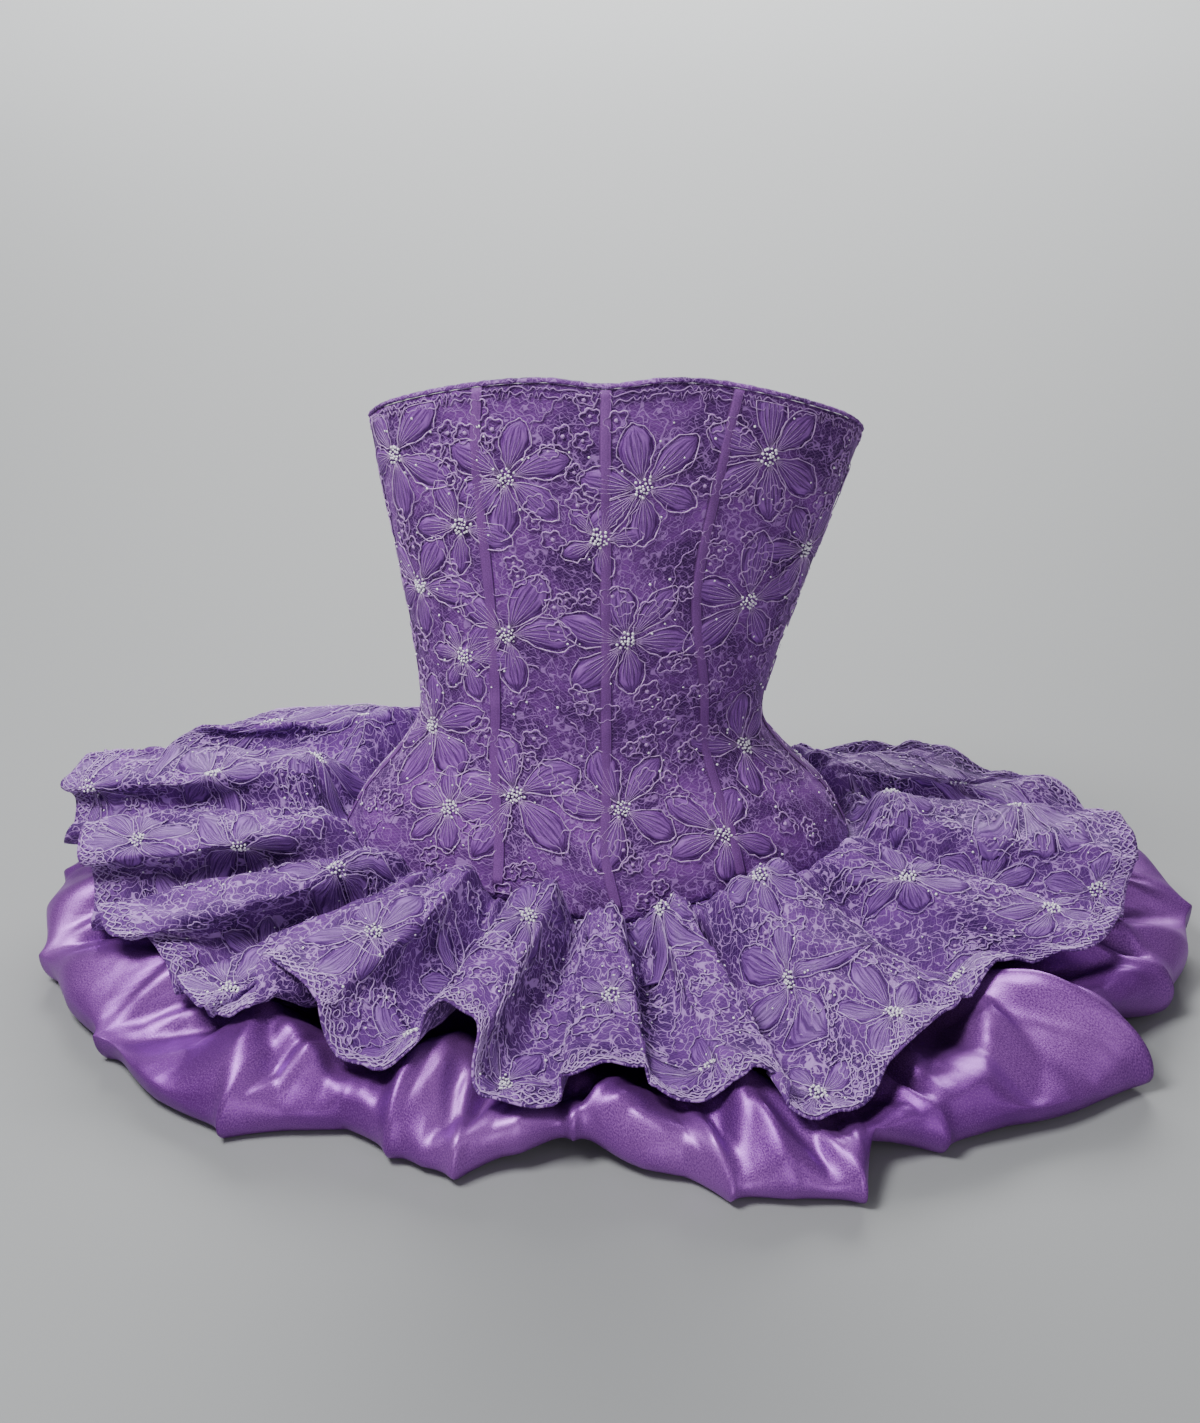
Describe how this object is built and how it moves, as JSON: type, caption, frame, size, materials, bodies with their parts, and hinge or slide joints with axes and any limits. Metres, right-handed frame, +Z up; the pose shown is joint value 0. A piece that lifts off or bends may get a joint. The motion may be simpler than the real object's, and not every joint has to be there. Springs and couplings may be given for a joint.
{
  "type": "homecoming dress",
  "caption": "Short strapless purple dress standing on its own spread skirt: boned lace bodice, gathered lace overskirt in rolls, and a satin bubble skirt turned under at the floor.",
  "frame": {"origin": "centre of the dress's box in plan, on the table it stands on", "axes": "+Z up, -Y towards the dress's front, +X towards the viewer's right when facing the front"},
  "size_m": [0.9113, 0.5639, 0.4904],
  "materials": {
    "lace_over_cloth": "corded lace over satin",
    "skirt_lace": "corded lace on net",
    "casing_satin": "satin",
    "binding": "corded edge",
    "satin": "glossy satin",
    "zip_tape": "woven tape",
    "zip_metal": "tinted metal"
  },
  "bodies": {
    "dress": {"bodice_centre_back_left": "lace_over_cloth", "bodice_side_back_left": "lace_over_cloth", "bodice_side_front_left": "lace_over_cloth", "bodice_centre_front_left": "lace_over_cloth", "bodice_centre_front_right": "lace_over_cloth", "bodice_side_front_right": "lace_over_cloth", "bodice_side_back_right": "lace_over_cloth", "bodice_centre_back_right": "lace_over_cloth", "lace_overskirt": "skirt_lace", "bone_casing_side_back_left": "casing_satin", "bone_casing_side_left": "casing_satin", "bone_casing_princess_left": "casing_satin", "bone_casing_centre_front": "casing_satin", "bone_casing_princess_right": "casing_satin", "bone_casing_side_right": "casing_satin", "bone_casing_side_back_right": "casing_satin", "neckline_binding": "binding", "satin_bubble_skirt": "satin", "back_zip_strip": "zip_tape", "zip_slider": "zip_metal"},
    "pull": {"zip_pull": "zip_metal"}
  },
  "joints": [
    {"name": "zip_pull_hinge", "type": "hinge", "parent": "dress", "child": "pull", "pos_m": [-0.00413, 0.16824, 0.384], "axis": [1, 0, 0], "range_deg": [0, 170]}
  ]
}
